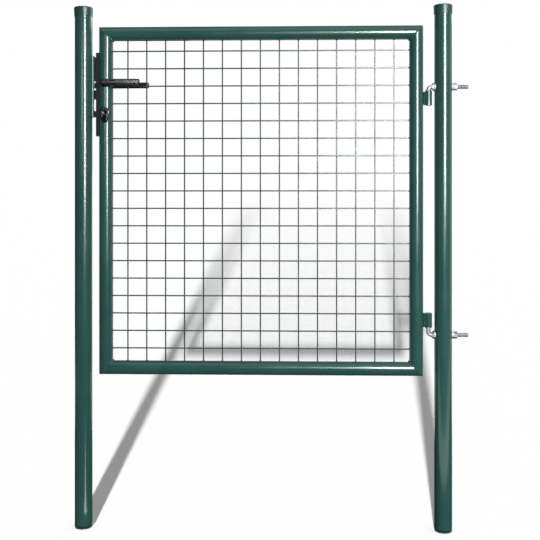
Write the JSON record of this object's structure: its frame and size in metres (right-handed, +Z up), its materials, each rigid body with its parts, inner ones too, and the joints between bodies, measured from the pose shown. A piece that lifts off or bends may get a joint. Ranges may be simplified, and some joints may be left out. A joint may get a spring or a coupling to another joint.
{
  "type": "fence gate",
  "caption": "Single-leaf garden fence gate: a welded tube frame filled with wire mesh, hung on elbow hinges between two round posts, with a lever lock and a keep.",
  "frame": {"origin": "centre of the hinge post's foot", "axes": "+Z up, +X from the lock post to the hinge post, -Y towards the side shown first"},
  "size_m": [1.1302, 0.088, 1.5],
  "materials": {
    "green_powder_coat": "satin moss green powder coat",
    "green_wire_coat": "satin dark green coat on wire",
    "green_cap_plastic": "moulded dark green plastic",
    "zinc_plate": "bright zinc plate",
    "bolt_steel": "plain bright steel",
    "black_satin": "satin black",
    "nickel": "satin nickel"
  },
  "bodies": {
    "posts": {"hinge_post": "green_powder_coat", "lock_post": "green_powder_coat", "hinge_post_cap": "green_cap_plastic", "lock_post_cap": "green_cap_plastic", "keep": "green_powder_coat", "upper_hinge_bolt": "zinc_plate", "lower_hinge_bolt": "zinc_plate", "upper_inner_nut": "zinc_plate", "upper_outer_nut": "zinc_plate", "lower_inner_nut": "zinc_plate", "lower_outer_nut": "zinc_plate", "upper_inner_washer": "zinc_plate", "upper_outer_washer": "zinc_plate", "lower_inner_washer": "zinc_plate", "lower_outer_washer": "zinc_plate"},
    "leaf": {"lock_stile": "green_powder_coat", "hinge_stile": "green_powder_coat", "top_rail": "green_powder_coat", "bottom_rail": "green_powder_coat", "mesh_panel": "green_wire_coat", "upper_hinge_socket": "green_powder_coat", "lower_hinge_socket": "green_powder_coat", "lock_body": "black_satin", "forend": "black_satin", "dead_bolt": "bolt_steel", "cylinder_body": "nickel", "front_plug": "nickel", "back_plug": "nickel", "front_escutcheon": "black_satin", "back_escutcheon": "black_satin", "front_rose": "black_satin", "back_rose": "black_satin"},
    "handles": {"front_lever": "black_satin", "back_lever": "black_satin", "spindle": "bolt_steel"},
    "latch": {"latch_bolt": "bolt_steel"}
  },
  "joints": [
    {"name": "gate_swing", "type": "hinge", "parent": "posts", "child": "leaf", "pos_m": [-0.042, 0, 0], "axis": [0, 0, -1], "range_deg": [0, 90]},
    {"name": "handle_turn", "type": "hinge", "parent": "leaf", "child": "handles", "pos_m": [-0.9665, 0, 1.277], "axis": [0, 1, 0], "range_deg": [0, 40], "stiffness_Nm_per_rad": 0.6, "springref_deg": -28.65},
    {"name": "latch_slide", "type": "slide", "parent": "leaf", "child": "latch", "axis": [1, 0, 0], "range_m": [0, 0.009]}
  ],
  "couplings": [
    {"joint": "latch_slide", "follows": "handle_turn", "m_per_rad": 0.01289}
  ]
}
